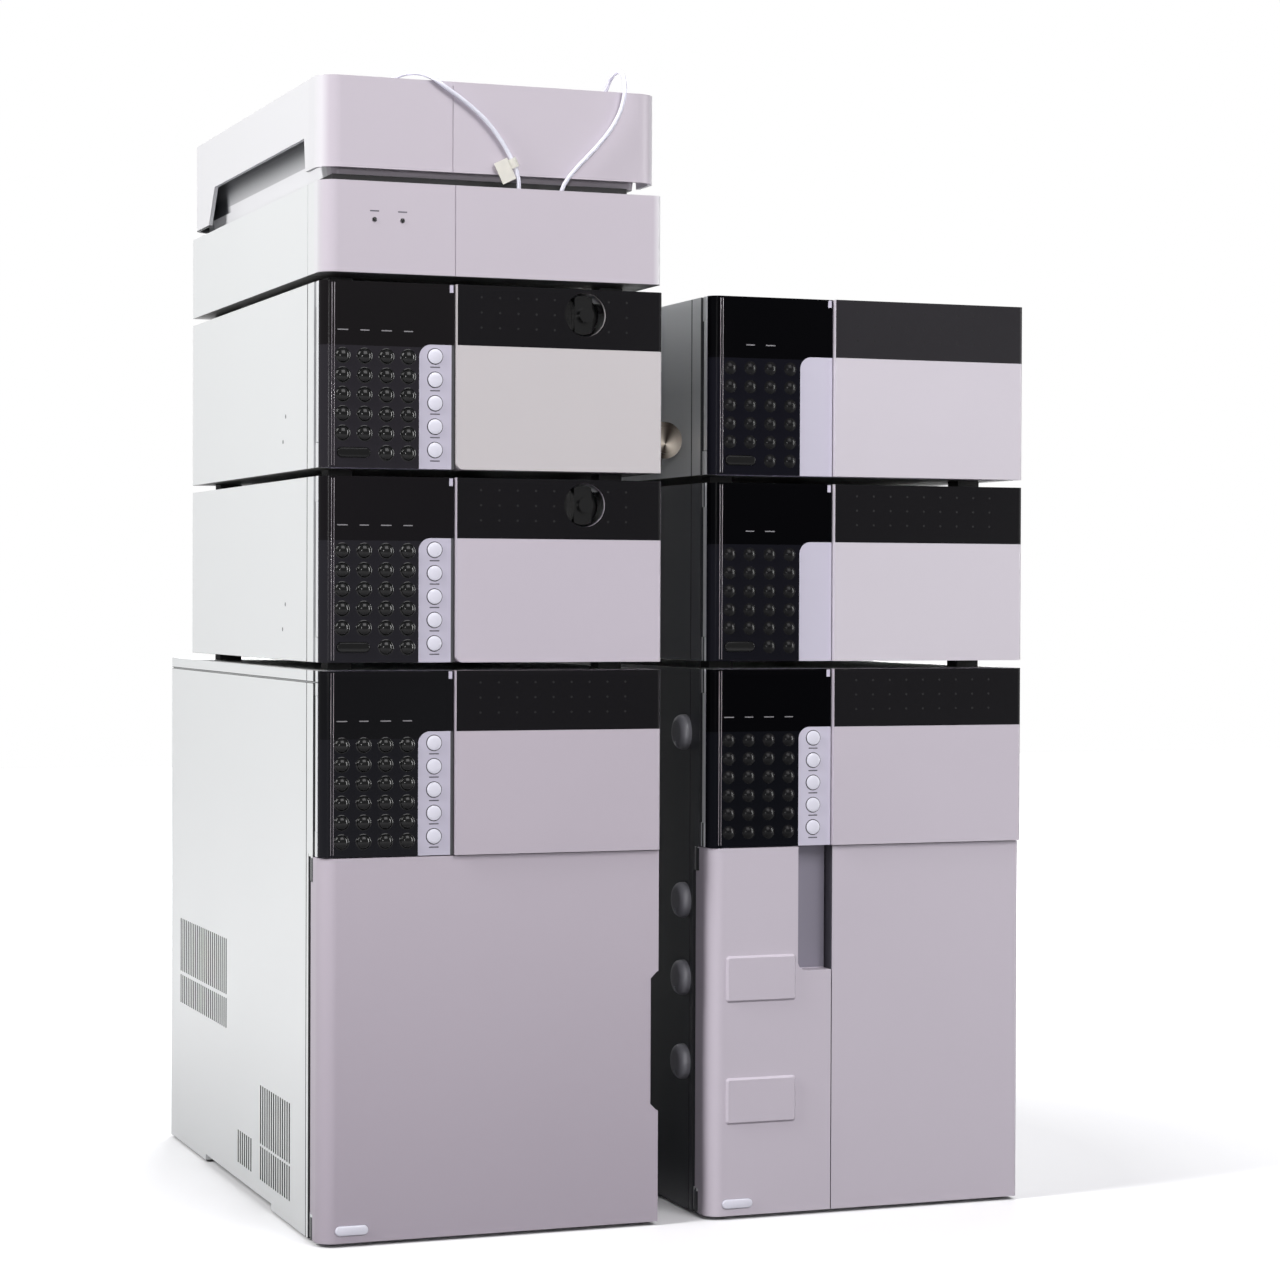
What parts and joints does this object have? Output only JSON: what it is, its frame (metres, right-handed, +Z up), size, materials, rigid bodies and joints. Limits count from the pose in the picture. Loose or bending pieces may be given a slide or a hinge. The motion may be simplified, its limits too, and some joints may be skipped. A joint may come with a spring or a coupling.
{
  "type": "hplc system",
  "caption": "Modular liquid chromatograph: two stacks of pumps, sampler, detector, controller and column oven under a solvent tray.",
  "frame": {"origin": "middle of the footprint, on the bench, cords left out", "axes": "+Z up, panel fronts face -Y, +X to the right seen from the front"},
  "size_m": [0.56, 0.5034, 0.8616],
  "materials": {
    "case_paint": "satin",
    "panel_plastic": "fine matt",
    "gloss_film": "gloss",
    "black_button": "satin",
    "white_button": "satin",
    "tray_plastic": "fine matt",
    "knob_plastic": "satin",
    "head_steel": "machined",
    "machined_aluminium": "satin",
    "foot_rubber": "matt",
    "ptfe": "translucent",
    "filter_steel": "sintered",
    "tag_plastic": "translucent",
    "clip_plastic": "satin",
    "rack_plastic": "matt"
  },
  "bodies": {
    "frame": {"pump_1_case": "case_paint", "pump_2_case": "case_paint", "detector_case": "case_paint", "controller_case": "case_paint", "controller_door": "panel_plastic", "controller_door_band": "gloss_film", "sampler_case": "case_paint", "oven_case": "case_paint", "oven_door": "panel_plastic", "oven_door_band": "gloss_film", "pump_1_heads": "head_steel", "pump_2_heads": "head_steel", "pump_1_mixer": "head_steel", "detector_flow_cell": "machined_aluminium", "sampler_rack": "rack_plastic", "oven_heater_block": "machined_aluminium", "oven_columns": "head_steel", "oven_tube_clips": "clip_plastic", "degasser_case": "case_paint", "degasser_front": "panel_plastic", "reservoir_tray": "tray_plastic", "rubber_feet": "foot_rubber", "suction_tube_a": "ptfe", "suction_filter_a": "filter_steel", "suction_tube_b": "ptfe", "suction_filter_b": "filter_steel", "tube_tag": "tag_plastic"},
    "pump_1_panel": {"pump_1_keypad_panel": "panel_plastic", "pump_1_keypad_film": "gloss_film"},
    "pump_1_front_door": {"pump_1_door": "panel_plastic", "pump_1_door_band": "gloss_film"},
    "pump_2_panel": {"pump_2_keypad_panel": "panel_plastic", "pump_2_keypad_film": "gloss_film"},
    "pump_2_front_door": {"pump_2_door": "panel_plastic", "pump_2_door_band": "gloss_film"},
    "detector_panel": {"detector_keypad_panel": "panel_plastic", "detector_keypad_film": "gloss_film"},
    "detector_front_door": {"detector_door": "panel_plastic", "detector_door_band": "gloss_film"},
    "controller_panel": {"controller_keypad_panel": "panel_plastic", "controller_keypad_film": "gloss_film"},
    "sampler_panel": {"sampler_keypad_panel": "panel_plastic", "sampler_keypad_film": "gloss_film"},
    "sampler_front_door": {"sampler_door": "panel_plastic", "sampler_door_band": "gloss_film"},
    "oven_panel": {"oven_keypad_panel": "panel_plastic", "oven_keypad_film": "gloss_film"},
    "sampler_big_door": {"sampler_lower_door": "panel_plastic"},
    "oven_small_door": {"oven_left_door": "panel_plastic"},
    "oven_big_door": {"oven_right_door": "panel_plastic"},
    "pump_1_button": {"pump_1_power_button": "black_button"},
    "pump_2_button": {"pump_2_power_button": "black_button"},
    "detector_button": {"detector_power_button": "black_button"},
    "controller_button": {"controller_power_button": "black_button"},
    "sampler_button": {"sampler_power_button": "white_button"},
    "oven_button": {"oven_power_button": "white_button"},
    "pump_1_knob": {"pump_1_drain_knob": "knob_plastic"},
    "pump_2_knob": {"pump_2_drain_knob": "knob_plastic"},
    "needle_carriage": {"sampler_needle_arm": "machined_aluminium"},
    "needle": {"sampler_needle": "head_steel"}
  },
  "joints": [
    {"name": "pump_1_panel_hinge", "type": "hinge", "parent": "frame", "child": "pump_1_panel", "pos_m": [-0.275, -0.23525, 0.628], "axis": [0, 0, 1], "range_deg": [-95, 0]},
    {"name": "pump_1_door_hinge", "type": "hinge", "parent": "frame", "child": "pump_1_front_door", "pos_m": [-0.025, -0.23525, 0.628], "axis": [0, 0, 1], "range_deg": [0, 95]},
    {"name": "pump_2_panel_hinge", "type": "hinge", "parent": "frame", "child": "pump_2_panel", "pos_m": [-0.275, -0.23525, 0.488], "axis": [0, 0, 1], "range_deg": [-95, 0]},
    {"name": "pump_2_door_hinge", "type": "hinge", "parent": "frame", "child": "pump_2_front_door", "pos_m": [-0.025, -0.23525, 0.488], "axis": [0, 0, 1], "range_deg": [0, 95]},
    {"name": "detector_panel_hinge", "type": "hinge", "parent": "frame", "child": "detector_panel", "pos_m": [0.025, -0.23525, 0.628], "axis": [0, 0, 1], "range_deg": [-95, 0]},
    {"name": "detector_door_hinge", "type": "hinge", "parent": "frame", "child": "detector_front_door", "pos_m": [0.275, -0.23525, 0.628], "axis": [0, 0, 1], "range_deg": [0, 95]},
    {"name": "controller_panel_hinge", "type": "hinge", "parent": "frame", "child": "controller_panel", "pos_m": [0.025, -0.23525, 0.488], "axis": [0, 0, 1], "range_deg": [-95, 0]},
    {"name": "sampler_panel_hinge", "type": "hinge", "parent": "frame", "child": "sampler_panel", "pos_m": [-0.275, -0.23525, 0.348], "axis": [0, 0, 1], "range_deg": [-95, 0]},
    {"name": "sampler_door_hinge", "type": "hinge", "parent": "frame", "child": "sampler_front_door", "pos_m": [-0.025, -0.23525, 0.348], "axis": [0, 0, 1], "range_deg": [0, 95]},
    {"name": "oven_panel_hinge", "type": "hinge", "parent": "frame", "child": "oven_panel", "pos_m": [0.025, -0.23525, 0.348], "axis": [0, 0, 1], "range_deg": [-95, 0]},
    {"name": "sampler_lower_door_hinge", "type": "hinge", "parent": "frame", "child": "sampler_big_door", "pos_m": [-0.275, -0.22325, 0.1416], "axis": [0, 0, 1], "range_deg": [-100, 0]},
    {"name": "oven_left_door_hinge", "type": "hinge", "parent": "frame", "child": "oven_small_door", "pos_m": [0.025, -0.22325, 0.1416], "axis": [0, 0, 1], "range_deg": [-95, 0]},
    {"name": "oven_right_door_hinge", "type": "hinge", "parent": "frame", "child": "oven_big_door", "pos_m": [0.275, -0.22325, 0.1416], "axis": [0, 0, 1], "range_deg": [0, 95]},
    {"name": "pump_1_button_press", "type": "slide", "parent": "pump_1_panel", "child": "pump_1_button", "axis": [0, 1, 0], "range_m": [0, 0.0015], "stiffness_N_per_m": 900},
    {"name": "pump_2_button_press", "type": "slide", "parent": "pump_2_panel", "child": "pump_2_button", "axis": [0, 1, 0], "range_m": [0, 0.0015], "stiffness_N_per_m": 900},
    {"name": "detector_button_press", "type": "slide", "parent": "detector_panel", "child": "detector_button", "axis": [0, 1, 0], "range_m": [0, 0.0015], "stiffness_N_per_m": 900},
    {"name": "controller_button_press", "type": "slide", "parent": "controller_panel", "child": "controller_button", "axis": [0, 1, 0], "range_m": [0, 0.0015], "stiffness_N_per_m": 900},
    {"name": "sampler_button_press", "type": "slide", "parent": "sampler_big_door", "child": "sampler_button", "axis": [0, 1, 0], "range_m": [0, 0.0015], "stiffness_N_per_m": 900},
    {"name": "oven_button_press", "type": "slide", "parent": "oven_small_door", "child": "oven_button", "axis": [0, 1, 0], "range_m": [0, 0.0015], "stiffness_N_per_m": 900},
    {"name": "pump_1_knob_turn", "type": "hinge", "parent": "frame", "child": "pump_1_knob", "pos_m": [-0.0807, -0.23825, 0.6765], "axis": [0, -1, 0], "range_deg": [0, 180]},
    {"name": "pump_2_knob_turn", "type": "hinge", "parent": "frame", "child": "pump_2_knob", "pos_m": [-0.0807, -0.23825, 0.5365], "axis": [0, -1, 0], "range_deg": [0, 180]},
    {"name": "needle_carriage_slide", "type": "slide", "parent": "frame", "child": "needle_carriage", "axis": [1, 0, 0], "range_m": [-0.085, 0.085]},
    {"name": "needle_lift", "type": "slide", "parent": "needle_carriage", "child": "needle", "axis": [0, 0, 1], "range_m": [-0.05, 0]}
  ]
}
